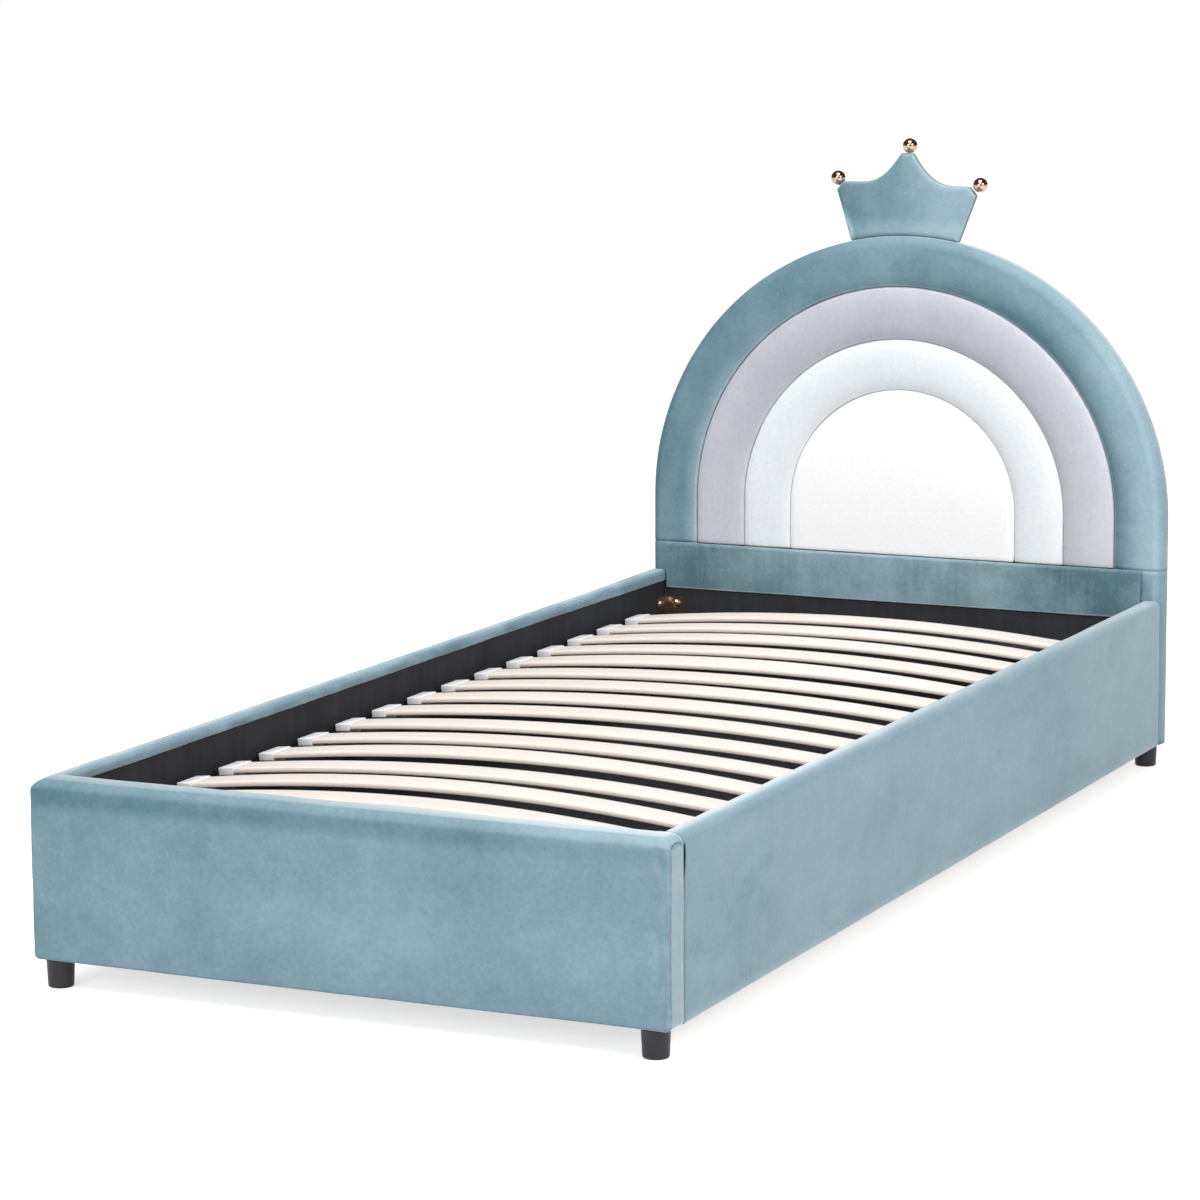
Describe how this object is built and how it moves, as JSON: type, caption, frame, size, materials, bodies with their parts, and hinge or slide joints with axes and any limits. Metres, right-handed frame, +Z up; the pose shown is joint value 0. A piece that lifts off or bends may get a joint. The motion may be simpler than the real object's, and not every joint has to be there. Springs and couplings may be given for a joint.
{
  "type": "childrens bed with storage",
  "caption": "Upholstered child's bed: rainbow headboard with a small crown, bowed slats on a frame that lifts on gas struts, storage box beneath.",
  "frame": {"origin": "on the floor, midway between the foot panel's outer face and the rearmost point behind the headboard, midway across the bed", "axes": "+Y along the bed towards the headboard, +X to the right of someone who stands at the foot and faces the headboard, +Z up"},
  "size_m": [0.965, 2.1294, 1.0795],
  "materials": {
    "blue_velvet": "velvet over foam",
    "grey_velvet": "velvet over foam",
    "pale_velvet": "velvet over foam",
    "white_velvet": "velvet over foam",
    "lined_board": "board lined in black cloth",
    "raw_board": "plain chipboard",
    "black_cloth": "thin non-woven cloth",
    "birch": "clear satin lacquer",
    "timber": "planed softwood",
    "black_steel": "satin powder coat",
    "zinc_steel": "zinc plated",
    "chrome_rod": "polished",
    "rose_brass": "polished, rose tint",
    "black_plastic": "satin"
  },
  "bodies": {
    "bed": {"corner_angle_foot_left": "rose_brass", "corner_angle_foot_right": "rose_brass", "corner_angle_head_left": "rose_brass", "corner_angle_head_right": "rose_brass", "cross_panel_board": "lined_board", "cross_panel_cover": "blue_velvet", "crown_ball_left": "rose_brass", "crown_ball_middle": "rose_brass", "crown_ball_right": "rose_brass", "crown_bar_left": "zinc_steel", "crown_bar_right": "zinc_steel", "crown_pad": "blue_velvet", "floor_beam": "timber", "floor_board_foot": "lined_board", "floor_board_head": "lined_board", "floor_ledge_left": "timber", "floor_ledge_right": "timber", "foot_board": "lined_board", "foot_cover": "blue_velvet", "frame_rest_left": "zinc_steel", "frame_rest_right": "zinc_steel", "headboard_back_cloth": "black_cloth", "headboard_blue_band": "blue_velvet", "headboard_board": "raw_board", "headboard_centre_pad": "white_velvet", "headboard_grey_band": "grey_velvet", "headboard_pale_band": "pale_velvet", "leg_foot_left": "black_plastic", "leg_foot_right": "black_plastic", "leg_head_left": "black_plastic", "leg_head_right": "black_plastic", "lift_plate_left": "zinc_steel", "lift_plate_right": "zinc_steel", "rail_board_left": "lined_board", "rail_board_right": "lined_board", "rail_cover_left": "blue_velvet", "rail_cover_right": "blue_velvet"},
    "slat_frame": {"frame_foot_tube": "black_steel", "frame_head_tube": "black_steel", "frame_side_left": "black_steel", "frame_side_right": "black_steel", "slat_01": "birch", "slat_02": "birch", "slat_03": "birch", "slat_04": "birch", "slat_05": "birch", "slat_06": "birch", "slat_07": "birch", "slat_08": "birch", "slat_09": "birch", "slat_10": "birch", "slat_11": "birch", "slat_12": "birch", "slat_13": "birch", "slat_14": "birch", "slat_15": "birch"},
    "strut_left": {"strut_cylinder_left": "black_steel"},
    "strut_right": {"strut_cylinder_right": "black_steel"},
    "rod_left": {"strut_rod_left": "chrome_rod"},
    "rod_right": {"strut_rod_right": "chrome_rod"}
  },
  "joints": [
    {"name": "lift", "type": "hinge", "parent": "bed", "child": "slat_frame", "pos_m": [0, 0.89525, 0.2], "axis": [-1, 0, 0], "range_deg": [0, 42]},
    {"name": "strut_swing_left", "type": "hinge", "parent": "bed", "child": "strut_left", "pos_m": [-0.425, 0.92525, 0.092], "axis": [-1, 0, 0], "range_deg": [0, 31.4]},
    {"name": "strut_extend_left", "type": "slide", "parent": "strut_left", "child": "rod_left", "axis": [0, -0.9628, 0.2701], "range_m": [0, 0.0552]},
    {"name": "strut_swing_right", "type": "hinge", "parent": "bed", "child": "strut_right", "pos_m": [0.425, 0.92525, 0.092], "axis": [-1, 0, 0], "range_deg": [0, 31.4]},
    {"name": "strut_extend_right", "type": "slide", "parent": "strut_right", "child": "rod_right", "axis": [0, -0.9628, 0.2701], "range_m": [0, 0.0552]}
  ],
  "couplings": [
    {"joint": "strut_swing_left", "follows": "lift", "ratio": 0.74674},
    {"joint": "strut_extend_left", "follows": "lift", "m_per_rad": 0.075239},
    {"joint": "strut_swing_right", "follows": "lift", "ratio": 0.74674},
    {"joint": "strut_extend_right", "follows": "lift", "m_per_rad": 0.075239}
  ]
}
